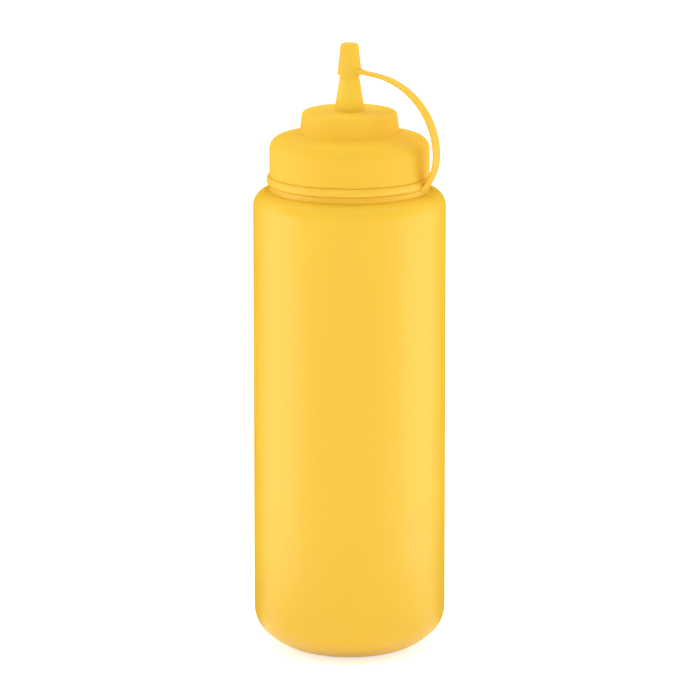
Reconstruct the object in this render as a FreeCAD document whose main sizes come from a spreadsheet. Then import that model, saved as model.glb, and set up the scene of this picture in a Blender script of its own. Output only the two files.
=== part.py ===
"""Squeeze bottle with a nozzle lid and a tethered tip cap, in millimetres.

The frame is +Z up with the origin at the centre of the standing ring. Every round piece turns about the Z
axis. The tether leaves the tip cap towards +X, swung a little to the front (-Y), and comes down to the
retaining ring round the neck.
"""
import FreeCAD, Part
import Sketcher
import math
import os
from collections import namedtuple

# Driving dimensions: name, value in millimetres or degrees, and what it measures.
SIZES = (
    ("body_radius", 42.0, "outside of the straight wall"),
    ("body_height", 204.8, "standing ring to the top of the shoulder"),
    ("shoulder_radius", 6.8, "rounding from the wall into the shoulder"),
    ("heel_radius", 14.3, "upper arc of the heel, next to the wall"),
    ("heel_turn", 45.0, "angle that the upper heel arc turns through"),
    ("base_radius", 29.6, "lower arc of the heel, next to the standing ring"),
    ("base_slope", 9.0, "angle between the lower heel arc and the table where they meet"),
    ("standing_width", 6.5, "width of the flat ring that the bottle stands on"),
    ("base_recess", 1.8, "rise of the underside inside the standing ring"),
    ("collar_radius", 35.0, "step at the foot of the neck"),
    ("collar_height", 2.6, "height of that step above the shoulder"),
    ("neck_radius", 32.5, "neck inside the lid, thread included"),
    ("neck_height", 16.5, "collar to the mouth"),
    ("ring_radius", 36.1, "outside of the retaining ring"),
    ("ring_height", 3.9, "thickness of the retaining ring"),
    ("ring_rounding", 1.4, "rounded outer edges of the ring"),
    ("ring_clearance", 0.3, "ring bore to neck, on the radius"),
    ("lid_clearance", 0.2, "lid to neck on the radius, and lid to ring"),
    ("lid_radius", 34.9, "outside of the skirt"),
    ("skirt_height", 11.5, "straight part of the skirt"),
    ("lid_rounding", 5.34, "arc between the skirt and the sloping top"),
    ("lid_slope", 12.8, "angle of the sloping top"),
    ("crown_foot_radius", 21.7, "crown where it leaves the sloping top"),
    ("crown_radius", 20.6, "top corner of the crown"),
    ("crown_height", 9.35, "sloping top to the flat of the crown"),
    ("crown_rounding", 1.9, "rounded rim of the crown"),
    ("nozzle_foot_radius", 6.64, "nozzle where it leaves the crown"),
    ("nozzle_tip_radius", 2.2, "nozzle end, inside the tip cap"),
    ("cap_rise", 15.8, "crown to the rim of the tip cap"),
    ("cap_rim_radius", 5.31, "outside of the tip cap at its rim"),
    ("cap_top_radius", 3.87, "outside of the tip cap at its top corner"),
    ("cap_height", 13.75, "rim to top of the tip cap"),
    ("cap_top_wall", 1.45, "end wall of the tip cap"),
    ("cap_rounding", 1.5, "rounded top edge of the tip cap"),
    ("cap_clearance", 0.1, "tip cap to nozzle, on the radius"),
    ("strap_width", 5.2, "tether band, across"),
    ("strap_thickness", 1.2, "tether band, through"),
    ("strap_turn", 25.0, "swing of the tether from +X towards the front"),
    ("strap_rise", 2.15, "cap rim to the middle of the band, at the axis"),
    ("strap_slope", 8.0, "fall of the band's straight run off the cap"),
    ("strap_reach", 5.25, "band's outermost middle line beyond the ring"),
    ("strap_drop", 14.5, "outermost point down to the band's foot"),
    ("strap_foot", 0.8, "band's foot above the underside of the ring"),
)

# Heights and radii that follow from the sheet, as expressions.
STANDING_RADIUS = ("(Sizes.body_radius - Sizes.heel_radius * (1 - cos(Sizes.heel_turn))"
                   " - Sizes.base_radius * (cos(Sizes.heel_turn) - sin(Sizes.base_slope)))")
RECESS_RADIUS = f"({STANDING_RADIUS} - Sizes.standing_width)"
RECESS_ARC = (f"(({RECESS_RADIUS} * {RECESS_RADIUS} + Sizes.base_recess * Sizes.base_recess)"
              " / (2 * Sizes.base_recess))")
JOINT_RADIUS = "(Sizes.body_radius - Sizes.heel_radius * (1 - cos(Sizes.heel_turn)))"
JOINT_Z = "(Sizes.base_radius * (cos(Sizes.base_slope) - sin(Sizes.heel_turn)))"
HEEL_Z = f"({JOINT_Z} + Sizes.heel_radius * sin(Sizes.heel_turn))"
COLLAR_Z = "(Sizes.body_height + Sizes.collar_height)"
MOUTH_Z = f"({COLLAR_Z} + Sizes.neck_height)"
RING_TOP_Z = f"({COLLAR_Z} + Sizes.ring_height)"
RING_BORE = "(Sizes.neck_radius + Sizes.ring_clearance)"
RING_MIDDLE = f"(({RING_BORE} + Sizes.ring_radius) / 2)"
LID_BORE = "(Sizes.neck_radius + Sizes.lid_clearance)"
SKIRT_Z = f"({RING_TOP_Z} + Sizes.lid_clearance)"
SKIRT_TOP_Z = f"({SKIRT_Z} + Sizes.skirt_height)"
DOME_RADIUS = "(Sizes.lid_radius - Sizes.lid_rounding * (1 - sin(Sizes.lid_slope)))"
DOME_Z = f"({SKIRT_TOP_Z} + Sizes.lid_rounding * cos(Sizes.lid_slope))"
CROWN_FOOT_Z = f"({DOME_Z} + ({DOME_RADIUS} - Sizes.crown_foot_radius) * tan(Sizes.lid_slope))"
CROWN_Z = f"({CROWN_FOOT_Z} + Sizes.crown_height)"
RIM_Z = f"({CROWN_Z} + Sizes.cap_rise)"
CAP_TOP_Z = f"({RIM_Z} + Sizes.cap_height)"
TIP_Z = f"({CAP_TOP_Z} - Sizes.cap_top_wall)"
NOZZLE_AT_RIM = ("(Sizes.nozzle_foot_radius - (Sizes.nozzle_foot_radius - Sizes.nozzle_tip_radius)"
                 f" * Sizes.cap_rise / ({TIP_Z} - {CROWN_Z}))")

# One corner of an outline. rounding is the radius that rounds the corner off; arc is the radius of the arc
# that runs from this corner to the next, with its centre on the left of that way (side 1) or the right (-1).
Corner = namedtuple("Corner", "across up rounding arc side", defaults=(None, None, 1))


def add_sheet(doc):
    """The spreadsheet of driving dimensions, one row each."""
    sheet = doc.addObject("Spreadsheet::Sheet", "Sizes")
    for row, (name, value, note) in enumerate(SIZES, start=1):
        sheet.set(f"A{row}", name)
        sheet.set(f"B{row}", str(value))
        sheet.setAlias(f"B{row}", name)
        sheet.set(f"C{row}", note)
    doc.recompute()
    return sheet


def add_body(doc, label):
    """An empty body, labelled with the sub-part's name."""
    body = doc.addObject("PartDesign::Body", label)
    body.Label = label
    body.Placement = FreeCAD.Placement()
    return body


def add_sketch(body, name, turn=None):
    """A sketch on the body's upright XZ plane, swung about Z from +X towards -Y by the angle of turn."""
    plane = next(item for item in body.Origin.OriginFeatures if item.Role == "XZ_Plane")
    sketch = body.newObject("Sketcher::SketchObject", name)
    sketch.AttachmentSupport = [(plane, "")]
    sketch.MapMode = "FlatFace"
    if turn:
        sketch.AttachmentOffset = FreeCAD.Placement(
            FreeCAD.Vector(), FreeCAD.Rotation(FreeCAD.Vector(0, -1, 0), sketch.evalExpression(turn)))
        sketch.setExpression("AttachmentOffset.Rotation.Angle", turn)
    return sketch


def bind(sketch, kind, *where, value, rule):
    """A dimension of the sketch, tied to an expression."""
    index = sketch.addConstraint(Sketcher.Constraint(kind, *where, value))
    sketch.setExpression(f"Constraints[{index}]", rule)


def pin(sketch, geometry, end, corner, place):
    """Hold one end of a piece of the outline at its corner."""
    for rule, kind, axis, value in ((corner.across, "DistanceX", -2, place.x),
                                    (corner.up, "DistanceY", -1, place.y)):
        if rule == "0":
            sketch.addConstraint(Sketcher.Constraint("PointOnObject", geometry, end, axis))
        else:
            bind(sketch, kind, -1, 1, geometry, end, value=value, rule=rule)


def arc_between(start, end, radius, side):
    """The shorter arc from start to end with its centre on the given side, and whether it is reversed."""
    chord = end - start
    left = FreeCAD.Vector(-chord.y, chord.x, 0).normalize()
    height = math.sqrt(max(radius * radius - chord.Length * chord.Length / 4, 0))
    centre = (start + end) / 2 + left * height * side
    first, last = (start, end) if side > 0 else (end, start)
    angles = [math.atan2(point.y - centre.y, point.x - centre.x) for point in (first, last)]
    circle = Part.Circle(centre, FreeCAD.Vector(0, 0, 1), radius)
    return Part.ArcOfCircle(circle, angles[0], angles[1])


def rounding_ends(before, place, after, radius):
    """Where an arc of this radius leaves the edge before a corner and joins the edge after it."""
    back = (before - place).normalize()
    ahead = (after - place).normalize()
    length = radius / math.tan(back.getAngle(ahead) / 2)
    side = 1 if (back.x * ahead.y - back.y * ahead.x) < 0 else -1
    return place + back * length, place + ahead * length, side


def add_outline(sketch, corners):
    """A closed outline through the corners, with every corner, arc and rounding tied to its expression."""
    places = [FreeCAD.Vector(sketch.evalExpression(corner.across), sketch.evalExpression(corner.up), 0)
              for corner in corners]
    count = len(corners)
    arrive, leave, sides = list(places), list(places), [1] * count
    for i, corner in enumerate(corners):
        if corner.rounding:
            arrive[i], leave[i], sides[i] = rounding_ends(
                places[i - 1], places[i], places[(i + 1) % count], sketch.evalExpression(corner.rounding))
    edges = []
    for i, corner in enumerate(corners):
        start, end = leave[i], arrive[(i + 1) % count]
        if corner.arc:
            curve = arc_between(start, end, sketch.evalExpression(corner.arc), corner.side)
            ends = (1, 2) if corner.side > 0 else (2, 1)
        else:
            curve = Part.LineSegment(start, end)
            ends = (1, 2)
        edges.append((sketch.addGeometry(curve, False), ends))
    for i, corner in enumerate(corners):
        edge, ends = edges[i]
        last_edge, last_ends = edges[i - 1]
        if corner.rounding:
            radius = sketch.evalExpression(corner.rounding)
            point = sketch.addGeometry(Part.Point(places[i]), True)
            pin(sketch, point, 1, corner, places[i])
            bend = sketch.addGeometry(arc_between(arrive[i], leave[i], radius, sides[i]), False)
            first, last = (1, 2) if sides[i] > 0 else (2, 1)
            sketch.addConstraint(Sketcher.Constraint("Tangent", last_edge, last_ends[1], bend, first))
            sketch.addConstraint(Sketcher.Constraint("Tangent", bend, last, edge, ends[0]))
            sketch.addConstraint(Sketcher.Constraint("PointOnObject", point, 1, last_edge))
            sketch.addConstraint(Sketcher.Constraint("PointOnObject", point, 1, edge))
            bind(sketch, "Radius", bend, value=radius, rule=corner.rounding)
        else:
            sketch.addConstraint(Sketcher.Constraint("Coincident", last_edge, last_ends[1], edge, ends[0]))
            pin(sketch, edge, ends[0], corner, places[i])
    for (edge, _), corner in zip(edges, corners):
        if corner.arc:
            bind(sketch, "Radius", edge, value=sketch.evalExpression(corner.arc), rule=corner.arc)


def turn_outline(body, kind, name, corners):
    """Turn an outline about Z, adding material (Revolution) or cutting it (Groove)."""
    sketch = add_sketch(body, name + "_outline")
    add_outline(sketch, corners)
    feature = body.newObject("PartDesign::" + kind, name)
    feature.Profile = sketch
    feature.ReferenceAxis = (sketch, ["V_Axis"])
    feature.Angle = 360
    return feature


def make_bottle(doc):
    """Body, shoulder, collar and plain neck, solid, with a shallow domed underside."""
    body = add_body(doc, "bottle")
    turn_outline(body, "Revolution", "bottle_form", (
        Corner("0", "Sizes.base_recess", arc=RECESS_ARC, side=-1),
        Corner(RECESS_RADIUS, "0"),
        Corner(STANDING_RADIUS, "0", arc="Sizes.base_radius"),
        Corner(JOINT_RADIUS, JOINT_Z, arc="Sizes.heel_radius"),
        Corner("Sizes.body_radius", HEEL_Z),
        Corner("Sizes.body_radius", "Sizes.body_height", rounding="Sizes.shoulder_radius"),
        Corner("Sizes.collar_radius", "Sizes.body_height"),
        Corner("Sizes.collar_radius", COLLAR_Z),
        Corner("Sizes.neck_radius", COLLAR_Z),
        Corner("Sizes.neck_radius", MOUTH_Z),
        Corner("0", MOUTH_Z),
    ))
    return body


def make_lid(doc):
    """Skirt, sloping top, crown and nozzle, with a blind bore over the neck."""
    body = add_body(doc, "nozzle_lid")
    turn_outline(body, "Revolution", "lid_form", (
        Corner(LID_BORE, SKIRT_Z),
        Corner("Sizes.lid_radius", SKIRT_Z),
        Corner("Sizes.lid_radius", SKIRT_TOP_Z, arc="Sizes.lid_rounding"),
        Corner(DOME_RADIUS, DOME_Z),
        Corner("Sizes.crown_foot_radius", CROWN_FOOT_Z),
        Corner("Sizes.crown_radius", CROWN_Z, rounding="Sizes.crown_rounding"),
        Corner("Sizes.nozzle_foot_radius", CROWN_Z),
        Corner("Sizes.nozzle_tip_radius", TIP_Z),
        Corner("0", TIP_Z),
        Corner("0", MOUTH_Z),
        Corner(LID_BORE, MOUTH_Z),
    ))
    return body


def strap_corners():
    """The band seen from its side: a straight run off the cap, an arc over and an arc down to the ring.

    The middle line leaves the axis falling at strap_slope, meets an arc that turns it upright at the
    outermost point, and a last arc takes it in to the ring. Both sides of the band share those centres.
    """
    outermost = "(Sizes.ring_radius + Sizes.strap_reach)"
    foot_z = f"({COLLAR_Z} + Sizes.strap_foot)"
    outermost_z = f"({foot_z} + Sizes.strap_drop)"
    start_z = f"({RIM_Z} + Sizes.strap_rise)"
    fall = "Sizes.strap_slope"
    over = (f"((({start_z} - {outermost_z}) * cos({fall}) - {outermost} * sin({fall}))"
            f" / (1 - sin({fall})))")
    down = ("((Sizes.strap_reach * Sizes.strap_reach + Sizes.strap_drop * Sizes.strap_drop)"
            " / (2 * Sizes.strap_reach))")
    over_centre = f"({outermost} - {over})"
    down_centre = f"({outermost} - {down})"
    half = "Sizes.strap_thickness / 2"
    foot_sine = f"(Sizes.strap_drop / {down})"
    foot_cosine = f"(({down} - Sizes.strap_reach) / {down})"

    def side(sign):
        """Corners of one side, from the axis to the foot; sign is + outside and - inside."""
        over_radius = f"({over} {sign} {half})"
        down_radius = f"({down} {sign} {half})"
        return (
            Corner("0", f"{start_z} {sign} {half} / cos({fall})"),
            Corner(f"{over_centre} + {over_radius} * sin({fall})",
                   f"{outermost_z} + {over_radius} * cos({fall})", arc=over_radius, side=-1),
            Corner(f"{outermost} {sign} {half}", outermost_z, arc=down_radius, side=-1),
            Corner(f"{down_centre} + {down_radius} * {foot_cosine}",
                   f"{outermost_z} - {down_radius} * {foot_sine}"),
        )

    outside, inside = side("+"), side("-")
    root = [Corner(RING_MIDDLE, corner.up) for corner in (outside[3], inside[3])]
    back = [
        inside[3]._replace(arc=inside[2].arc, side=1),
        inside[2]._replace(arc=inside[1].arc, side=1),
        inside[1]._replace(arc=None),
        inside[0],
    ]
    return (*outside, *root, *back)


def make_tethered_cap(doc):
    """Retaining ring, band and conical tip cap, moulded as one piece."""
    body = add_body(doc, "tethered_cap")
    sketch = add_sketch(body, "strap_outline", turn="Sizes.strap_turn")
    add_outline(sketch, strap_corners())
    strap = body.newObject("PartDesign::Pad", "strap")
    strap.Profile = sketch
    strap.SideType = "Symmetric"
    strap.Length = sketch.evalExpression("Sizes.strap_width")
    strap.setExpression("Length", "Sizes.strap_width")
    turn_outline(body, "Revolution", "ring", (
        Corner(RING_BORE, COLLAR_Z),
        Corner("Sizes.ring_radius", COLLAR_Z, rounding="Sizes.ring_rounding"),
        Corner("Sizes.ring_radius", RING_TOP_Z, rounding="Sizes.ring_rounding"),
        Corner(RING_BORE, RING_TOP_Z),
    ))
    cap = turn_outline(body, "Revolution", "cap", (
        Corner("0", RIM_Z),
        Corner("Sizes.cap_rim_radius", RIM_Z),
        Corner("Sizes.cap_top_radius", CAP_TOP_Z, rounding="Sizes.cap_rounding"),
        Corner("0", CAP_TOP_Z),
    ))
    doc.recompute()
    solid_volume = cap.Shape.Volume
    socket = turn_outline(body, "Groove", "nozzle_socket", (
        Corner("0", RIM_Z),
        Corner(f"{NOZZLE_AT_RIM} + Sizes.cap_clearance", RIM_Z),
        Corner("Sizes.nozzle_tip_radius + Sizes.cap_clearance", TIP_Z),
        Corner("0", TIP_Z),
    ))
    doc.recompute()
    if socket.Shape.Volume >= solid_volume:
        raise ValueError("the nozzle socket cut nothing")
    return body


def check(doc, subparts):
    """Stop if any object failed to compute or any sub-part is not one valid solid."""
    for item in doc.Objects:
        if "Invalid" in item.State or "Error" in item.State:
            raise ValueError(f"{item.Name} failed to compute")
    for body in subparts:
        if body.Shape.isNull() or not body.Shape.isValid() or len(body.Shape.Solids) != 1:
            raise ValueError(f"{body.Label} is not one valid solid")


def main():
    doc = FreeCAD.newDocument("squeeze_bottle")
    add_sheet(doc)
    subparts = [make(doc) for make in (make_bottle, make_lid, make_tethered_cap)]
    doc.recompute()
    check(doc, subparts)
    os.makedirs("parts", exist_ok=True)
    for body in subparts:
        body.Shape.exportStep(os.path.join("parts", body.Label + ".step"))
        box = body.Shape.BoundBox
        print(body.Label, "volume", round(body.Shape.Volume), "z", round(box.ZMin, 3), round(box.ZMax, 3),
              "x", round(box.XMin, 3), round(box.XMax, 3), "y", round(box.YMin, 3), round(box.YMax, 3))


main()
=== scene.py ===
"""Squeeze bottle with a nozzle lid and a tethered tip cap: its finished surfaces, plastics and studio.

Every piece is a surface worked out with numpy, in metres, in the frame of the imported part: +Z up, the origin
at the middle of the ring it stands on, the tether leaving the tip cap towards +X and a little to the front.
"""
import math

import bpy
import numpy as np
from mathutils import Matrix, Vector


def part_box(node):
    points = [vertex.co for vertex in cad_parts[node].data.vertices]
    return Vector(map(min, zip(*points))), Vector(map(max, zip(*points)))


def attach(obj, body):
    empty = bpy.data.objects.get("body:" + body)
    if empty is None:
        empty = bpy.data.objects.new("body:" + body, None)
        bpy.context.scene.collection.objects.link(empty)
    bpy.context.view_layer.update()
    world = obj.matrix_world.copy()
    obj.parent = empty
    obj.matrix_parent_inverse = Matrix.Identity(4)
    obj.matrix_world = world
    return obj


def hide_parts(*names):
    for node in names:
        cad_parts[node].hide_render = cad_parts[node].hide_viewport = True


bl_info = {
    "name": "Squeeze bottle",
    "version": (1, 0, 0),
    "blender": (4, 5, 0),
    "location": "3D View > Sidebar > Squeeze bottle",
    "description": "Makes a blow-moulded squeeze bottle with its nozzle lid, tip cap and tether",
    "category": "Object",
}

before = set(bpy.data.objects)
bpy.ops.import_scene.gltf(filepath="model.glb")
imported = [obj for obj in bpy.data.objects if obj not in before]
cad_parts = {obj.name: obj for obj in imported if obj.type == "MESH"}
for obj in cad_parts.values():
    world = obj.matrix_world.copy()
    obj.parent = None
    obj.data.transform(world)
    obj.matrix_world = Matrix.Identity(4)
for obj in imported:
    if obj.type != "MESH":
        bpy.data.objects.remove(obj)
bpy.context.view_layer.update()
BOTTLE_LOW, BOTTLE_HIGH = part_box("bottle")
LID_LOW, LID_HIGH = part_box("nozzle_lid")
CAP_LOW, CAP_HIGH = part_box("tethered_cap")
MM = 0.001


# Colours and small number tools

def linear(hex_colour):
    """An sRGB hex value as linear red, green, blue and alpha."""
    channels = np.array([int(hex_colour[i:i + 2], 16) for i in (1, 3, 5)]) / 255
    curve = np.where(channels <= 0.04045, channels / 12.92, ((channels + 0.055) / 1.055) ** 2.4)
    return (*curve.tolist(), 1.0)


def per_size(size):
    """The scale that makes one cell of a procedural pattern as large as size, in metres."""
    return 1.0 / size


def length(name, value, description):
    """A length property in metres with its default."""
    return bpy.props.FloatProperty(name=name, description=description, default=value, min=0.0,
                                   precision=5, unit="LENGTH", subtype="DISTANCE")


def angle(name, degrees, description):
    """An angle property with its default in degrees."""
    return bpy.props.FloatProperty(name=name, description=description, default=math.radians(degrees),
                                   precision=3, unit="ROTATION", subtype="ANGLE")


def power(name, watts, description):
    """A lamp's power in watts with its default."""
    return bpy.props.FloatProperty(name=name, description=description, default=watts, min=0.0,
                                   precision=3, unit="POWER")


def share(name, value, description):
    """A plain number from 0 to 1 with its default."""
    return bpy.props.FloatProperty(name=name, description=description, default=value, min=0.0, max=1.0,
                                   precision=3, subtype="FACTOR")


def colour(name, hex_colour, description):
    """A colour property whose default is an sRGB hex value."""
    return bpy.props.FloatVectorProperty(name=name, description=description, size=4, subtype="COLOR",
                                         default=linear(hex_colour), min=0.0, max=1.0)


# Sizes and colours that a user would change

class BottleSizes(bpy.types.PropertyGroup):
    """Sizes of the blow-moulded bottle."""
    wall: length("Wall radius", BOTTLE_HIGH.x, "Outside of the straight wall")
    mouth: length("Mouth height", BOTTLE_HIGH.z, "Standing ring to the mouth of the neck")
    neck_height: length("Neck height", 16.5 * MM, "Collar to the mouth")
    neck: length("Neck radius", 32.5 * MM, "Neck inside the lid")
    collar: length("Collar radius", 35.0 * MM, "Step at the foot of the neck")
    collar_height: length("Collar height", 2.6 * MM, "Height of the step above the shoulder")
    collar_edge: length("Collar edge", 0.35 * MM, "Rounding of the collar's upper edge")
    collar_fillet: length("Collar fillet", 0.7 * MM, "Hollow between the collar and the shoulder")
    shoulder: length("Shoulder rounding", 6.8 * MM, "Arc from the wall into the shoulder")
    heel: length("Heel rounding", 14.3 * MM, "Upper arc of the heel, next to the wall")
    heel_turn: angle("Heel turn", 45.0, "Angle that the upper heel arc turns through")
    base: length("Base rounding", 29.6 * MM, "Lower arc of the heel, next to the standing ring")
    base_slope: angle("Base slope", 9.0, "Angle between the lower heel arc and the table")
    standing: length("Standing ring", 6.5 * MM, "Width of the ring that touches the table")
    recess: length("Base recess", 1.8 * MM, "Rise of the underside inside the standing ring")
    seam_height: length("Mould line height", 0.045 * MM, "Stand of the parting line off the wall")
    seam_width: length("Mould line width", 0.35 * MM, "Half width of the parting line")
    pinch_length: length("Pinch-off length", 12.5 * MM, "Half length of the welded tail scar under the base")
    pinch_height: length("Pinch-off height", 0.4 * MM, "Height of the welded tail scar")


class LidSizes(bpy.types.PropertyGroup):
    """Sizes of the nozzle lid."""
    skirt: length("Skirt radius", LID_HIGH.x, "Outside of the skirt")
    rim: length("Rim height", LID_LOW.z - 0.17 * MM, "Lower edge of the skirt, just clear of the ring")
    tip: length("Tip height", LID_HIGH.z, "End of the nozzle")
    bore: length("Bore radius", 32.7 * MM, "Inside of the skirt")
    skirt_height: length("Skirt height", 11.5 * MM, "Straight part of the skirt")
    skirt_edge: length("Skirt edge", 0.2 * MM, "Rounding of the skirt's lower edge")
    shoulder: length("Lid shoulder", 5.34 * MM, "Arc between the skirt and the sloping top")
    slope: angle("Lid slope", 12.8, "Angle of the sloping top")
    crown_foot: length("Crown foot radius", 21.7 * MM, "Crown where it leaves the sloping top")
    crown: length("Crown radius", 20.6 * MM, "Top corner of the crown")
    crown_height: length("Crown height", 9.35 * MM, "Sloping top to the flat of the crown")
    crown_edge: length("Crown rounding", 1.9 * MM, "Rounded rim of the crown")
    crown_fillet: length("Crown fillet", 0.45 * MM, "Hollow at the foot of the crown")
    nozzle_foot: length("Nozzle foot radius", 6.64 * MM, "Nozzle where it leaves the crown")
    nozzle_tip: length("Nozzle tip radius", 2.2 * MM, "End of the nozzle, inside the tip cap")
    nozzle_fillet: length("Nozzle fillet", 0.8 * MM, "Hollow at the foot of the nozzle")


class CapSizes(bpy.types.PropertyGroup):
    """Sizes of the tip cap, its tether and the ring round the neck."""
    top: length("Cap top height", CAP_HIGH.z, "Top of the tip cap")
    height: length("Cap height", 13.75 * MM, "Rim to the top of the tip cap")
    rim: length("Cap rim radius", 5.31 * MM, "Outside of the tip cap at its rim")
    crown: length("Cap top radius", 3.87 * MM, "Outside of the tip cap at its top corner")
    edge: length("Cap rounding", 1.5 * MM, "Rounded top edge of the tip cap")
    rim_edge: length("Cap rim edge", 0.22 * MM, "Rounding of the rim")
    end_wall: length("Cap end wall", 1.45 * MM, "Thickness of the end wall")
    socket_rim: length("Socket at the rim", 4.24 * MM, "Inside of the tip cap at its rim")
    socket_end: length("Socket at its end", 2.3 * MM, "Inside of the tip cap at its end")
    ring: length("Ring radius", 36.1 * MM, "Outside of the retaining ring")
    ring_bore: length("Ring bore", 32.8 * MM, "Inside of the retaining ring")
    ring_low: length("Ring foot height", CAP_LOW.z, "Underside of the retaining ring")
    ring_height: length("Ring thickness", 3.9 * MM, "Underside to the top of the ring")
    ring_edge: length("Ring rounding", 1.4 * MM, "Rounded outer edges of the ring")
    band_width: length("Tether width", 5.2 * MM, "Across the band")
    band_thickness: length("Tether thickness", 1.2 * MM, "Through the band")
    band_growth: length("Tether growth", 1.1 * MM, "Extra width of the band where it comes down to the ring")
    band_edge: length("Tether edge", 0.42 * MM, "Rounding of the band's long edges")
    band_rise: length("Tether rise", 2.15 * MM, "Cap rim to the middle of the band, at the axis")
    band_slope: angle("Tether slope", 8.0, "Fall of the band's straight run off the cap")
    band_turn: angle("Tether turn", 25.0, "Swing of the tether from +X towards the front")
    band_reach: length("Tether reach", 5.25 * MM, "Outermost middle line beyond the ring")
    band_drop: length("Tether drop", 14.5 * MM, "Outermost point down to the band's foot")
    band_foot: length("Tether foot", 0.8 * MM, "Band's foot above the underside of the ring")
    root_flare: length("Tether root flare", 0.9 * MM, "Extra width at each end of the band")
    root_run: length("Tether root run", 2.2 * MM, "Distance over which the band widens into its roots")


class PlasticLooks(bpy.types.PropertyGroup):
    """Colours and finish of the three plastics."""
    bottle: colour("Bottle colour", "#EDBF2C", "Blow-moulded polyethylene of the bottle")
    lid: colour("Lid colour", "#EDBE31", "Injection-moulded polyethylene of the lid")
    cap: colour("Cap colour", "#EEBF38", "Injection-moulded polyethylene of the cap, tether and ring")
    bottle_rough: share("Bottle roughness", 0.42, "Satin skin that the blow mould leaves")
    lid_rough: share("Lid roughness", 0.62, "Fine spark-eroded skin of the lid's mould")
    cap_rough: share("Cap roughness", 0.50, "Fine spark-eroded skin of the cap's mould")


class StudioSettings(bpy.types.PropertyGroup):
    """Camera, lamps, black cards and white surroundings."""
    elevation: angle("Camera elevation", 12.33, "Camera above the level")
    distance: length("Camera distance", 2.4789, "Camera to the point it looks at")
    aim: length("Aim height", 0.1332, "Height of the point that the camera looks at")
    aside: length("Aim offset", 0.0002, "Sideways place of the point that the camera looks at")
    lens: bpy.props.FloatProperty(name="Lens", description="Focal length on a 36 mm sensor",
                                  default=291.3, min=1.0, unit="CAMERA")
    strip_away: length("Strip distance", 0.15, "Each side strip from the bottle's axis")
    strip_turn: angle("Strip turn", 79.0, "Each side strip's direction, round from the camera")
    strip_wide: length("Strip width", 0.22, "Each side strip, across")
    strip_high: length("Strip height", 0.205, "Each side strip, from just above the floor up")
    strip_spread: angle("Strip spread", 60.0, "Cone that the grid of each side strip lets through")
    strip_power: power("Strip power", 0.024, "Light of each side strip")
    front_power: power("Front lamp power", 1.2, "Light of the high lamp in front")
    low_power: power("Low lamp power", 4.2, "Light of the low lamp in front")
    tip_power: power("Tip lamp power", 0.0175, "Light of the narrow lamp on the lid and the nozzle")
    fill_turn: angle("Fill lamp turn", 115.0, "Each fill lamp's direction, round from the camera")
    fill_power: power("Fill lamp power", 4.3, "Light of each soft lamp behind the bottle's sides")
    top_power: power("Top lamp power", 19.0, "Light of the lamp straight above")
    back_power: power("Back lamp power", 2.5, "Light of the high lamp behind")
    flag_away: length("Card distance", 0.10, "Upright part of each black card from the bottle's axis")
    flag_start: angle("Card start", 100.0, "Near edge of each black card, round from the camera")
    flag_end: angle("Card end", 176.0, "Far edge of each black card, round from the camera")
    flag_high: length("Card height", 0.30, "Top of each black card")
    world_strength: share("Surrounding light", 0.4, "Strength at which the surroundings light the object")
    floor_glow: share("Floor glow", 0.62, "Brightness added to the floor for the camera and for reflections")


# Surfaces

def arc(across, up, radius, start, end, count):
    """Points (across, up) + radius * (cos t, sin t), for count values of t evenly from start to end."""
    t = np.linspace(start, end, count)
    return np.stack([across + radius * np.cos(t), up + radius * np.sin(t)], axis=1)


def rounded(corners, count=9):
    """An open outline through corners (across, up, radius), each inner corner replaced by its tangent arc.

    The arc's centre lies on the bisector of the two edges, radius / sin(half the corner's angle) from the
    corner, and the arc runs between the two feet of that centre on the edges."""
    nearly_straight = 1e-4
    corners = np.array(corners, float)
    parts = [corners[:1, :2]]
    for before, here, after in zip(corners[:-2], corners[1:-1], corners[2:]):
        back = before[:2] - here[:2]
        ahead = after[:2] - here[:2]
        back = back / np.hypot(*back)
        ahead = ahead / np.hypot(*ahead)
        half = math.acos(max(-1.0, min(1.0, float(back @ ahead)))) / 2
        if here[2] <= 0 or math.pi / 2 - half < nearly_straight:
            parts.append(here[None, :2])
            continue
        reach = here[2] / math.tan(half)
        middle = here[:2] + (back + ahead) / np.hypot(*(back + ahead)) * here[2] / math.sin(half)
        first = here[:2] + back * reach - middle
        last = here[:2] + ahead * reach - middle
        turn = math.atan2(first[0] * last[1] - first[1] * last[0], float(first @ last))
        t = np.linspace(0, turn, count)
        cos, sin = np.cos(t), np.sin(t)
        spun = np.stack([cos * first[0] - sin * first[1], sin * first[0] + cos * first[1]], axis=1)
        parts.append(middle + spun)
    parts.append(corners[-1:, :2])
    return np.concatenate(parts)


def evened(outline, step):
    """The outline with long straight runs divided, so that no two points are further apart than step.

    Each run from p to q gets the points p + (q - p) * k / n, with n the run's length over step, rounded up.
    A point on top of the one before it is left out."""
    same_place = 1e-8
    gaps = np.hypot(*np.diff(outline, axis=0).T)
    outline = outline[np.concatenate([[True], gaps > same_place])]
    gaps = np.hypot(*np.diff(outline, axis=0).T)
    pieces = np.maximum(1, np.ceil(gaps / step)).astype(int)
    start = np.repeat(np.arange(len(pieces)), pieces)
    within = np.arange(len(start)) - np.repeat(np.cumsum(pieces) - pieces, pieces)
    part = (within / pieces[start])[:, None]
    points = outline[start] + (outline[start + 1] - outline[start]) * part
    return np.concatenate([points, outline[-1:]])


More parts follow.
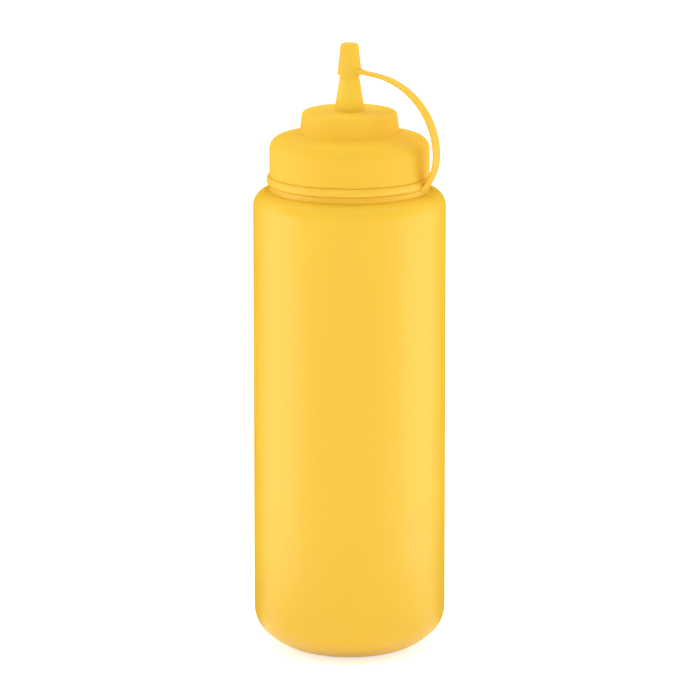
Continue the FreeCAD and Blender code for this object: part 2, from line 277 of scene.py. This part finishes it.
def turned(outline, angles, radial=None):
    """A surface of revolution, as points and faces: (across * cos a, across * sin a, up) at each angle a.

    radial, if given, is added to across and has one row per outline point and one column per angle. Points
    on the axis become one pole with a fan of triangles. An outline that ends where it starts is a tube."""
    on_axis = 1e-9
    loop = np.allclose(outline[0], outline[-1])
    rows = outline[:-1] if loop else outline
    across = rows[:, :1] + np.zeros((1, len(angles)))
    if radial is not None:
        across = across + radial[:len(rows)]
    grid = np.stack([across * np.cos(angles), across * np.sin(angles),
                     np.repeat(rows[:, 1:], len(angles), axis=1)], axis=2)
    count = len(angles)
    first_pole = not loop and rows[0, 0] < on_axis
    last_pole = not loop and rows[-1, 0] < on_axis
    body = grid[int(first_pole):len(rows) - int(last_pole)]
    tall = len(body)
    i = np.arange(tall if loop else tall - 1)[:, None]
    j = np.arange(count)[None, :]
    after_i = (i + 1) % tall
    after_j = (j + 1) % count
    quads = np.stack([i * count + j, i * count + after_j, after_i * count + after_j, after_i * count + j],
                     axis=2).reshape(-1, 4)
    points = body.reshape(-1, 3)
    faces = quads.tolist()
    ring = np.arange(count)
    if first_pole:
        pole = len(points)
        points = np.concatenate([points, [[0, 0, rows[0, 1]]]])
        faces += np.stack([np.full(count, pole), np.roll(ring, -1), ring], axis=1).tolist()
    if last_pole:
        pole = len(points)
        top = (tall - 1) * count + ring
        points = np.concatenate([points, [[0, 0, rows[-1, 1]]]])
        faces += np.stack([np.full(count, pole), top, np.roll(top, -1)], axis=1).tolist()
    return points, faces


def even_angles(count):
    """Count equal steps round a full turn."""
    return np.arange(count) * math.tau / count


def seam_angles(count, fine):
    """Equal steps round a full turn, plus close ones beside 0 and half a turn at the angles in fine."""
    extra = np.concatenate([fine, -fine])
    angles = np.concatenate([even_angles(count), extra % math.tau, extra + math.pi])
    return np.unique(np.round(angles, 9))


def mesh_object(name, points, faces):
    """A smooth-shaded mesh object at the origin, in the scene."""
    mesh = bpy.data.meshes.new(name)
    mesh.from_pydata(np.asarray(points, float).tolist(), [], faces)
    mesh.polygons.foreach_set("use_smooth", np.ones(len(mesh.polygons), bool))
    mesh.validate()
    mesh.update()
    piece = bpy.data.objects.new(name, mesh)
    bpy.context.scene.collection.objects.link(piece)
    return piece


def joined(*surfaces):
    """Several (points, faces) surfaces as one."""
    points = np.concatenate([s[0] for s in surfaces])
    starts = np.cumsum([0] + [len(s[0]) for s in surfaces[:-1]])
    faces = [[v + int(start) for v in face] for start, (_, some) in zip(starts, surfaces) for face in some]
    return points, faces


def finish_piece(piece, node, plastic):
    """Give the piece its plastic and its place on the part."""
    piece.data.materials.append(plastic)
    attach(piece, "root")
    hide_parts(node)


# Plastics

def add_node(tree, kind, links=(), **settings):
    """Add a shader node. A setting names one of its attributes or else an input socket, with _ for a space;
    links are (from node, from socket, to socket) for its inputs."""
    node = tree.nodes.new(kind)
    for key, value in settings.items():
        if hasattr(node, key):
            setattr(node, key, value)
        else:
            node.inputs[key.replace("_", " ")].default_value = value
    for source, output, target in links:
        tree.links.new(source.outputs[output], node.inputs[target])
    return node


def empty_tree(owner):
    """The node tree of a material or of the surroundings, with nothing in it yet."""
    owner.use_nodes = True
    owner.node_tree.nodes.clear()
    return owner.node_tree


def polyethylene(name, tint, roughness, ripple, ripple_height, grain, grain_height, cloud, painted_glow_from=None):
    """Coloured low-density polyethylene, moulded: a soft, waxy, opaque-looking plastic with a satin skin.

    Masterbatch streaks give the colour a very faint cloud. The wall isn't quite even, so highlights waver a
    little along their edges. The mould's blasted skin breaks up the gloss. Light goes a millimetre or two
    into the plastic and comes back warmer, which softens small edges. From the given height up, the colour
    is painted a little paler: a painted glow that stands in for light let through the nozzle's wall."""
    paler, deeper = 1.018, 0.982
    # Painted glow: above the given height the tint is multiplied by these, a painted brightening that stands
    # in for light let through the nozzle's wall.
    painted_glow_tint = (1.01, 1.12, 1.55)
    painted_glow_begins, painted_glow_full = -1.5 * MM, 4 * MM
    gloss_drift = 0.025
    plastic = bpy.data.materials.new(name)
    tree = empty_tree(plastic)
    place = add_node(tree, "ShaderNodeTexCoord")
    clouds = add_node(tree, "ShaderNodeTexNoise", [(place, "Object", "Vector")],
                      Scale=per_size(cloud), Detail=3.0, Roughness=0.55)
    pale = tuple(min(1.0, c * paler) for c in tint[:3]) + (1.0,)
    deep = tuple(c * deeper for c in tint[:3]) + (1.0,)
    shade = add_node(tree, "ShaderNodeMix", [(clouds, "Fac", "Factor")], data_type="RGBA")
    shade.inputs[6].default_value = deep
    shade.inputs[7].default_value = pale
    # Painted glow: the colour fades to the paler tint from just below the given height up, standing in for
    # light let through the nozzle's wall.
    if painted_glow_from is not None:
        parts = add_node(tree, "ShaderNodeSeparateXYZ", [(place, "Object", "Vector")])
        painted_glow_ramp = add_node(tree, "ShaderNodeMapRange", [(parts, "Z", "Value")],
                        From_Min=painted_glow_from + painted_glow_begins, From_Max=painted_glow_from + painted_glow_full)
        shade = add_node(tree, "ShaderNodeMix", [(painted_glow_ramp, "Result", "Factor"), (shade, 2, 6)], data_type="RGBA")
        shade.inputs[7].default_value = tuple(c * more for c, more in zip(tint, painted_glow_tint)) + (1.0,)
    # The real blasting is about 0.05 mm; it is drawn coarser so that it shows at all.
    blasted = add_node(tree, "ShaderNodeTexNoise", [(place, "Object", "Vector")],
                       Scale=per_size(grain), Detail=2.0, Roughness=0.6)
    gloss = add_node(tree, "ShaderNodeMapRange", [(clouds, "Fac", "Value")], From_Min=0.3, From_Max=0.7,
                     To_Min=roughness - gloss_drift, To_Max=roughness + gloss_drift)
    waves = add_node(tree, "ShaderNodeTexNoise", [(place, "Object", "Vector")],
                     Scale=per_size(ripple), Detail=1.0, Roughness=0.4)
    wavy = add_node(tree, "ShaderNodeBump", [(waves, "Fac", "Height")], Strength=1.0, Distance=ripple_height)
    skin = add_node(tree, "ShaderNodeBump", [(blasted, "Fac", "Height"), (wavy, "Normal", "Normal")],
                    Strength=1.0, Distance=grain_height)
    shader = add_node(tree, "ShaderNodeBsdfPrincipled",
                      [(shade, 2, "Base Color"), (gloss, "Result", "Roughness"), (skin, "Normal", "Normal")],
                      IOR=1.51, Subsurface_Weight=0.2, Subsurface_Radius=(1.0, 0.62, 0.2),
                      Subsurface_Scale=2.0 * MM)
    add_node(tree, "ShaderNodeOutputMaterial", [(shader, "BSDF", "Surface")])
    return plastic


# Pieces

class OBJECT_OT_squeeze_bottle(bpy.types.Operator):
    """Make the bottle: heel, wall, shoulder, collar and neck, with its mould line and pinch-off"""
    bl_idname = "object.squeeze_bottle"
    bl_label = "Bottle"

    def execute(self, context):
        size = context.scene.bottle_sizes
        looks = context.scene.plastic_looks
        corner_edge, mouth_edge = 0.3 * MM, 0.5 * MM
        seam_foot, seam_fade = 0.6 * MM, 4 * MM
        seam_inside, seam_above = 20 * MM, 0.5 * MM
        pinch_width, table_gap = 0.55 * MM, 0.1 * MM
        step, columns = 3.2 * MM, 224
        # Radii and heights where the heel's arcs meet each other, the standing ring and the wall.
        joint = size.wall - size.heel * (1 - math.cos(size.heel_turn))
        ring_out = joint - size.base * (math.cos(size.heel_turn) - math.sin(size.base_slope))
        ring_in = ring_out - size.standing
        joint_up = size.base * (math.cos(size.base_slope) - math.sin(size.heel_turn))
        heel_up = joint_up + size.heel * math.sin(size.heel_turn)
        collar_up = size.mouth - size.neck_height
        shoulder_up = collar_up - size.collar_height
        # The recess is a cap of a ball: its radius is (ring_in^2 + recess^2) / (2 * recess).
        dish = (ring_in ** 2 + size.recess ** 2) / (2 * size.recess)
        dish_turn = math.asin(ring_in / dish)
        underside = arc(0, size.recess - dish, dish, math.pi / 2, math.pi / 2 - dish_turn, 15)
        underside[:, 1] = np.maximum(underside[:, 1], 0)
        underside[0, 0] = 0
        lower = arc(ring_out - size.base * math.sin(size.base_slope), size.base * math.cos(size.base_slope),
                    size.base, -math.pi / 2 + size.base_slope, -size.heel_turn, 22)
        upper = arc(size.wall - size.heel, heel_up, size.heel, -size.heel_turn, 0, 18)
        round_over = arc(size.wall - size.shoulder, shoulder_up - size.shoulder, size.shoulder,
                         0, math.pi / 2, 22)
        top = rounded([(size.wall - size.shoulder, shoulder_up, 0),
                       (size.collar, shoulder_up, size.collar_fillet),
                       (size.collar, collar_up, size.collar_edge),
                       (size.neck, collar_up, corner_edge),
                       (size.neck, size.mouth, mouth_edge), (0, size.mouth, 0)])
        outline = evened(np.concatenate([underside, lower, upper, round_over, top]), step)
        # Columns of points crowd beside the mould line, at these multiples of 1.3 times its half width.
        fine = np.array([0.25, 0.5, 0.75, 1.0, 1.4, 2.0, 3.0]) * size.seam_width / size.wall * 1.3
        angles = seam_angles(columns, fine)
        # The mould line is a low ridge on both sides: height * exp(-(distance from the side / width)^2),
        # taken off the wall everywhere else so that the ridge's crest is the wall's radius. It fades in above
        # the table and ends at the shoulder, outside the underside and the neck.
        aside = outline[:, :1] * np.sin(angles)[None, :]
        ridge = np.exp(-(aside / size.seam_width) ** 2) - 1
        wall_part = np.clip((outline[:, 1] - seam_foot) / seam_fade, 0, 1)
        wall_part = wall_part * (outline[:, 0] > seam_inside) * (outline[:, 1] < shoulder_up + seam_above)
        points, faces = turned(outline, angles, size.seam_height * ridge * wall_part[:, None])
        # The pinch-off is a rounded bar under the base along the mould line: height * (1 - (x/length)^8)
        # * exp(-(y/width)^2), hanging down inside the recess and kept off the table.
        x, y, z = points.T
        inside = (np.hypot(x, y) < ring_in) & (z < size.recess * 1.01)
        bar = np.clip(1 - (x / size.pinch_length) ** 8, 0, 1) * np.exp(-(y / pinch_width) ** 2)
        points[:, 2] = np.where(inside, np.maximum(z - size.pinch_height * bar, table_gap * (z > 0)), z)
        piece = mesh_object("squeeze_bottle", points, faces)
        plastic = polyethylene("blow_moulded_polyethylene", tuple(looks.bottle), looks.bottle_rough,
                               ripple=26 * MM, ripple_height=0.05 * MM, grain=0.6 * MM,
                               grain_height=0.0025 * MM, cloud=34 * MM)
        finish_piece(piece, "bottle", plastic)
        return {"FINISHED"}


class OBJECT_OT_nozzle_lid(bpy.types.Operator):
    """Make the nozzle lid: skirt, sloping top, crown and nozzle in one turned surface"""
    bl_idname = "object.nozzle_lid"
    bl_label = "Nozzle lid"

    def execute(self, context):
        size = context.scene.lid_sizes
        looks = context.scene.plastic_looks
        ceiling = context.scene.bottle_sizes.mouth
        ceiling_edge, tip_edge = 0.3 * MM, 0.25 * MM
        step, columns = 2.4 * MM, 200
        skirt_top = size.rim + size.skirt_height
        dome = size.skirt - size.shoulder * (1 - math.sin(size.slope))
        dome_up = skirt_top + size.shoulder * math.cos(size.slope)
        foot_up = dome_up + (dome - size.crown_foot) * math.tan(size.slope)
        crown_up = foot_up + size.crown_height
        below = rounded([(0, ceiling, 0), (size.bore, ceiling, ceiling_edge),
                         (size.bore, size.rim, size.skirt_edge),
                         (size.skirt, size.rim, size.skirt_edge), (size.skirt, skirt_top, 0)], 6)
        shoulder = arc(size.skirt - size.shoulder, skirt_top, size.shoulder, 0, math.pi / 2 - size.slope, 20)
        above = rounded([(dome, dome_up, 0), (size.crown_foot, foot_up, size.crown_fillet),
                         (size.crown, crown_up, size.crown_edge),
                         (size.nozzle_foot, crown_up, size.nozzle_fillet),
                         (size.nozzle_tip, size.tip, tip_edge), (0, size.tip, 0)], 12)
        outline = evened(np.concatenate([below, shoulder, above]), step)
        points, faces = turned(outline, even_angles(columns))
        piece = mesh_object("nozzle_lid_moulding", points, faces)
        # The nozzle above the crown gets a painted glow, standing in for light let through its wall.
        plastic = polyethylene("injection_moulded_polyethylene", tuple(looks.lid), looks.lid_rough,
                               ripple=19 * MM, ripple_height=0.02 * MM, grain=0.5 * MM,
                               grain_height=0.004 * MM, cloud=22 * MM, painted_glow_from=crown_up)
        finish_piece(piece, "nozzle_lid", plastic)
        return {"FINISHED"}


def tether_line(size, step):
    """The tether's middle line in its own upright plane, as (outward, up) points and their directions.

    It runs straight off the cap's axis at the given slope, then along one arc to its outermost point, where
    it is upright, then along a tighter arc back in to the ring. Each arc is tangent to what comes before."""
    rim_up = size.top - size.height
    start = np.array([0.0, rim_up + size.band_rise])
    outermost = size.ring + size.band_reach
    foot = np.array([size.ring, size.ring_low + size.band_foot])
    widest_up = foot[1] + size.band_drop
    cos, sin = math.cos(size.band_slope), math.sin(size.band_slope)
    # The upper arc's radius r puts its centre at (outermost - r, widest_up) and its foot on the straight run:
    # the centre's distance from that run's line equals r.
    radius = ((start[1] - widest_up) * cos - outermost * sin) / (1 - sin)
    middle = np.array([outermost - radius, widest_up])
    leave = middle + radius * np.array([sin, cos])
    lower = (size.band_drop ** 2 + (outermost - foot[0]) ** 2) / (2 * (outermost - foot[0]))
    lower_end = -math.asin(size.band_drop / lower)
    run = float(np.hypot(*(leave - start)))
    first = start + (leave - start) * np.linspace(0, 1, max(2, round(run / step)))[:, None]
    upper_arc = arc(middle[0], middle[1], radius, math.pi / 2 - size.band_slope, 0,
                    round(radius * (math.pi / 2 - size.band_slope) / step))
    lower_arc = arc(outermost - lower, widest_up, lower, 0, lower_end, round(-lower * lower_end / step))
    line = np.concatenate([first, upper_arc[1:], lower_arc[1:]])
    ahead = np.gradient(line, axis=0)
    ahead /= np.hypot(ahead[:, 0], ahead[:, 1])[:, None]
    return line, ahead


def band_section(width, thickness, edge, count):
    """A closed rounded rectangle as (across, through) points, anticlockwise: four arcs of radius edge."""
    quarter = np.linspace(0, math.pi / 2, count)
    turns = np.concatenate([quarter + k * math.pi / 2 for k in range(4)])
    side = np.repeat([[1, 1], [-1, 1], [-1, -1], [1, -1]], count, axis=0)
    centre = side * (np.array([width, thickness]) / 2 - edge)
    return centre + edge * np.stack([np.cos(turns), np.sin(turns)], axis=1)


def tether(size):
    """The tether as points and faces: its section carried along the middle line.

    Point = line + across * (sideways) + through * (normal). The section widens evenly on the way down and by
    flare * (1 - s / run)^2 near each end, and slides inward along the line by the sagitta of the round wall
    it meets, so that both ends lie sunk in the cap's wall and in the ring."""
    sunk, straight_root = 0.62 * MM, 0.6 * MM
    grows_from, grows_over = 12 * MM, 24 * MM
    cap_slide, ring_slide = 3 * MM, 6 * MM
    foot_run, root_share, root_depth = 1.6, 0.55, 1.1
    step, widest_share = 0.45 * MM, 0.93
    line, ahead = tether_line(size, step)
    wall = size.rim + (size.crown - size.rim) * size.band_rise / size.height
    keep = line[:, 0] >= wall - sunk
    line, ahead = line[keep], ahead[keep]
    gap = np.hypot(*np.diff(line, axis=0).T)
    along = np.concatenate([[0], np.cumsum(gap)])
    back = along[-1] - along
    section = band_section(size.band_width, size.band_thickness, size.band_edge, 6)
    root = np.clip(1 - np.maximum(along - straight_root, 0) / size.root_run, 0, 1) ** 2
    foot = np.clip(1 - np.maximum(back - straight_root, 0) / (foot_run * size.root_run), 0, 1) ** 2
    grown = size.band_growth * np.clip((along - grows_from) / grows_over, 0, 1) / size.band_width
    wider = 1 + grown + (root * root_share + foot) * 2 * size.root_flare / size.band_width
    thicker = 1 + root * root_depth * size.root_flare / size.band_thickness
    across = section[None, :, 0] * wider[:, None]
    through = section[None, :, 1] * thicker[:, None]
    inner = wall - sunk
    reach = np.minimum(np.abs(across), inner * widest_share)
    round_cap = inner - np.sqrt(np.maximum(inner ** 2 - reach ** 2, 0))
    round_ring = size.ring - np.sqrt(size.ring ** 2 - across ** 2)
    slide = round_cap * np.clip(1 - along / cap_slide, 0, 1)[:, None]
    slide = slide + round_ring * np.clip(1 - back / ring_slide, 0, 1)[:, None]
    normal = np.stack([-ahead[:, 1], ahead[:, 0]], axis=1)
    outward = line[:, :1] + through * normal[:, :1] - slide
    up = line[:, 1:] + through * normal[:, 1:]
    cos, sin = math.cos(-size.band_turn), math.sin(-size.band_turn)
    grid = np.stack([outward * cos - across * sin, outward * sin + across * cos, up], axis=2)
    rows, count = grid.shape[:2]
    points = grid.reshape(-1, 3)
    i = np.arange(rows - 1)[:, None]
    j = np.arange(count)[None, :]
    after = (j + 1) % count
    quads = np.stack([i * count + j, (i + 1) * count + j, (i + 1) * count + after, i * count + after], axis=2)
    faces = quads.reshape(-1, 4).tolist()
    faces.append(list(range(count)))
    faces.append(list(range(rows * count - 1, (rows - 1) * count - 1, -1)))
    return points, faces


class OBJECT_OT_tethered_cap(bpy.types.Operator):
    """Make the tip cap, its tether and the ring round the neck"""
    bl_idname = "object.tethered_cap"
    bl_label = "Tethered cap"

    def execute(self, context):
        size = context.scene.cap_sizes
        looks = context.scene.plastic_looks
        socket_edge, bore_edge = 0.1 * MM, 0.25 * MM
        step, cap_columns, ring_columns = 1.2 * MM, 96, 224
        rim_up = size.top - size.height
        end_up = size.top - size.end_wall
        cap_outline = rounded([(0, end_up, 0), (size.socket_end, end_up, socket_edge),
                               (size.socket_rim, rim_up, size.rim_edge), (size.rim, rim_up, size.rim_edge),
                               (size.crown, size.top, size.edge), (0, size.top, 0)], 10)
        cap = turned(evened(cap_outline, step), even_angles(cap_columns))
        ring_top = size.ring_low + size.ring_height
        ring_middle = (size.ring_bore + size.ring) / 2
        ring_outline = rounded([(ring_middle, size.ring_low, 0),
                                (size.ring, size.ring_low, size.ring_edge),
                                (size.ring, ring_top, size.ring_edge),
                                (size.ring_bore, ring_top, bore_edge),
                                (size.ring_bore, size.ring_low, bore_edge),
                                (ring_middle, size.ring_low, 0)], 12)
        ring = turned(ring_outline, even_angles(ring_columns))
        points, faces = joined(cap, tether(size), ring)
        piece = mesh_object("tip_cap_with_tether", points, faces)
        plastic = polyethylene("soft_moulded_polyethylene", tuple(looks.cap), looks.cap_rough,
                               ripple=12 * MM, ripple_height=0.01 * MM, grain=0.45 * MM,
                               grain_height=0.003 * MM, cloud=9 * MM)
        finish_piece(piece, "tethered_cap", plastic)
        return {"FINISHED"}


# Studio

def background_rays(tree):
    """A node whose output 0 is 1 for camera, glossy and transmission rays and 0 for all others."""
    rays = add_node(tree, "ShaderNodeLightPath")
    seen = add_node(tree, "ShaderNodeMath", [(rays, "Is Camera Ray", 0), (rays, "Is Glossy Ray", 1)],
                    operation="ADD")
    return add_node(tree, "ShaderNodeMath", [(seen, 0, 0), (rays, "Is Transmission Ray", 1)], operation="ADD")


def white_ground(name, strength, colour_hex):
    """A plain matt white that keeps the object's shadow, lifted by a glow.

    Only camera, glossy and transmission rays see the glow, so that it doesn't light the object."""
    ground = bpy.data.materials.new(name)
    tree = empty_tree(ground)
    level = add_node(tree, "ShaderNodeMath", [(background_rays(tree), 0, 0)], operation="MULTIPLY")
    level.inputs[1].default_value = strength
    glow = add_node(tree, "ShaderNodeEmission", [(level, 0, "Strength")])
    paper = add_node(tree, "ShaderNodeBsdfDiffuse", Color=linear(colour_hex))
    both = add_node(tree, "ShaderNodeAddShader", [(paper, 0, 0), (glow, 0, 1)])
    add_node(tree, "ShaderNodeOutputMaterial", [(both, 0, "Surface")])
    return ground


def black_felt(name, colour_hex):
    """Matt black card: it shows in a satin surface as a dark band with no shine of its own."""
    felt = bpy.data.materials.new(name)
    tree = empty_tree(felt)
    matt = add_node(tree, "ShaderNodeBsdfDiffuse", Color=linear(colour_hex))
    add_node(tree, "ShaderNodeOutputMaterial", [(matt, "BSDF", "Surface")])
    return felt


def surroundings(name, strength):
    """White surroundings that light the object at the given strength.

    Camera, glossy and transmission rays see them as full white."""
    world = bpy.data.worlds.new(name)
    tree = empty_tree(world)
    plain = add_node(tree, "ShaderNodeBackground", Strength=strength)
    white = add_node(tree, "ShaderNodeBackground", Strength=1.0)
    pick = add_node(tree, "ShaderNodeMixShader",
                    [(background_rays(tree), 0, 0), (plain, "Background", 1), (white, "Background", 2)])
    add_node(tree, "ShaderNodeOutputWorld", [(pick, 0, "Surface")])
    return world


def add_lamp(name, turn, away, up, aim_up, width, height, spread, shines, power):
    """A soft rectangular lamp that faces the height aim_up on the bottle's axis.

    Its place is (away * sin turn, -away * cos turn, up), and spread is the cone that its grid lets through.
    One that doesn't shine lights the plastic and leaves no highlight, as light through a polariser would."""
    lamp = bpy.data.lights.new(name, "AREA")
    lamp.shape = "RECTANGLE"
    lamp.size = width
    lamp.size_y = height
    lamp.spread = spread
    lamp.energy = power
    place = Vector((away * math.sin(turn), -away * math.cos(turn), up))
    holder = bpy.data.objects.new(name, lamp)
    holder.location = place
    holder.rotation_euler = (Vector((0, 0, aim_up)) - place).to_track_quat("-Z", "Y").to_euler()
    holder.visible_camera = False
    holder.visible_glossy = shines
    bpy.context.scene.collection.objects.link(holder)


def black_flag(name, side, start, end, profile, black):
    """A black card round the bottle: each (radius, height) of the profile carried from one turn to another.

    Only reflections meet it, so it keeps the white floor's glare off the bottle's edges and dims nothing."""
    columns = 15
    turns = np.linspace(start, end, columns)
    radius, height = np.array(profile).T
    count = len(profile)
    grid = np.stack([side * np.outer(np.sin(turns), radius), -np.outer(np.cos(turns), radius),
                     np.tile(height, (columns, 1))], axis=2)
    i = np.arange(columns - 1)[:, None] * count
    j = i + np.arange(count - 1)
    quads = np.stack([j, j + 1, j + 1 + count, j + count], axis=2).reshape(-1, 4)
    flag = mesh_object(name, grid.reshape(-1, 3), quads.tolist())
    flag.data.materials.append(black)
    flag.visible_camera = False
    flag.visible_shadow = False
    flag.visible_diffuse = False


class SCENE_OT_bottle_studio(bpy.types.Operator):
    """Make the plain white studio: floor, surroundings, soft lamps and the camera"""
    bl_idname = "scene.bottle_studio"
    bl_label = "Studio"

    def execute(self, context):
        scene = context.scene
        settings = scene.studio_settings
        half_floor = 9.0
        floor = mesh_object("floor", half_floor * np.array([(-1, -1, 0), (1, -1, 0), (1, 1, 0), (-1, 1, 0)]),
                            [[0, 1, 2, 3]])
        floor.data.materials.append(white_ground("matt_white_floor", settings.floor_glow, "#FCFCFC"))
        scene.world = surroundings("white_surroundings", settings.world_strength)
        # The strips stand just clear of the floor and face up by the camera's angle, so that their
        # reflections keep to the straight wall. The others aim at the body, and the tip lamp at the nozzle.
        strip_up = settings.strip_high / 2 + 0.011
        strip_aim = strip_up + settings.strip_away * math.tan(settings.elevation)
        strip = (settings.strip_away, strip_up, strip_aim, settings.strip_wide, settings.strip_high,
                 settings.strip_spread, True, settings.strip_power)
        body, nozzle = 0.13, 0.31
        narrow = math.radians(22)
        wide = math.pi
        fill = (0.9, 0.42, body, 0.9, 0.8, wide, False, settings.fill_power)
        # Name, turn, away, up, aim height, width, height, spread, whether it shines, power
        add_lamp("left_strip", -settings.strip_turn, *strip)
        add_lamp("right_strip", settings.strip_turn, *strip)
        add_lamp("left_fill", -settings.fill_turn, *fill)
        add_lamp("right_fill", settings.fill_turn, *fill)
        add_lamp("front_lamp", 0.0, 1.6, 0.62, body, 1.2, 0.9, wide, True, settings.front_power)
        add_lamp("low_lamp", 0.0, 1.3, 0.07, body, 1.4, 0.12, wide, False, settings.low_power)
        add_lamp("tip_lamp", 0.0, 0.9, 0.46, nozzle, 0.1, 0.1, narrow, False, settings.tip_power)
        add_lamp("top_lamp", 0.0, 0.01, 1.5, body, 2.2, 2.2, wide, False, settings.top_power)
        add_lamp("back_lamp", math.pi, 1.6, 1.5, body, 1.2, 0.9, wide, False, settings.back_power)
        # Each card has a foot that runs in over the floor to the heel and an upright part behind the wall.
        felt = black_felt("black_card", "#1A1A1A")
        foot_in, foot_up = 0.036, 0.0004
        card = [(foot_in, foot_up), (settings.flag_away, foot_up), (settings.flag_away, settings.flag_high)]
        for name, side in (("left_flag", -1), ("right_flag", 1)):
            black_flag(name, side, settings.flag_start, settings.flag_end, card, felt)
        camera = bpy.data.cameras.new("camera")
        camera.sensor_fit = "HORIZONTAL"
        camera.sensor_width = 36.0
        camera.lens = settings.lens
        camera.clip_end = 60.0
        holder = bpy.data.objects.new("camera", camera)
        away = settings.distance * Vector((0, -math.cos(settings.elevation), math.sin(settings.elevation)))
        holder.location = Vector((settings.aside, 0, settings.aim)) + away
        holder.rotation_euler = (math.pi / 2 - settings.elevation, 0, 0)
        scene.collection.objects.link(holder)
        scene.camera = holder
        scene.view_settings.view_transform = "Standard"
        return {"FINISHED"}


class VIEW3D_PT_squeeze_bottle(bpy.types.Panel):
    """The sidebar panel with each operator and the sizes it uses"""
    bl_label = "Squeeze bottle"
    bl_idname = "VIEW3D_PT_squeeze_bottle"
    bl_space_type = "VIEW_3D"
    bl_region_type = "UI"
    bl_category = "Squeeze bottle"

    def draw(self, context):
        for operator, settings in PARTS:
            box = self.layout.box()
            box.operator(operator.bl_idname)
            group = getattr(context.scene, settings)
            for name in type(group).__annotations__:
                box.prop(group, name)
        box = self.layout.box()
        for name in PlasticLooks.__annotations__:
            box.prop(context.scene.plastic_looks, name)


GROUPS = (
    ("bottle_sizes", BottleSizes),
    ("lid_sizes", LidSizes),
    ("cap_sizes", CapSizes),
    ("plastic_looks", PlasticLooks),
    ("studio_settings", StudioSettings),
)
PARTS = (
    (OBJECT_OT_squeeze_bottle, "bottle_sizes"),
    (OBJECT_OT_nozzle_lid, "lid_sizes"),
    (OBJECT_OT_tethered_cap, "cap_sizes"),
    (SCENE_OT_bottle_studio, "studio_settings"),
)


def register():
    """Register the settings, the operators and the panel."""
    for name, group in GROUPS:
        bpy.utils.register_class(group)
        setattr(bpy.types.Scene, name, bpy.props.PointerProperty(type=group))
    for operator, _ in PARTS:
        bpy.utils.register_class(operator)
    bpy.utils.register_class(VIEW3D_PT_squeeze_bottle)


def unregister():
    """Take the panel, the operators and the settings away again."""
    bpy.utils.unregister_class(VIEW3D_PT_squeeze_bottle)
    for operator, _ in reversed(PARTS):
        bpy.utils.unregister_class(operator)
    for name, group in reversed(GROUPS):
        delattr(bpy.types.Scene, name)
        bpy.utils.unregister_class(group)


def write_sizes():
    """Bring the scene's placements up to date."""
    bpy.context.view_layer.update()


def main():
    """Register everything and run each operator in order."""
    register()
    bpy.ops.scene.bottle_studio()
    bpy.ops.object.squeeze_bottle()
    bpy.ops.object.nozzle_lid()
    bpy.ops.object.tethered_cap()
    write_sizes()


if __name__ == "__main__":
    main()
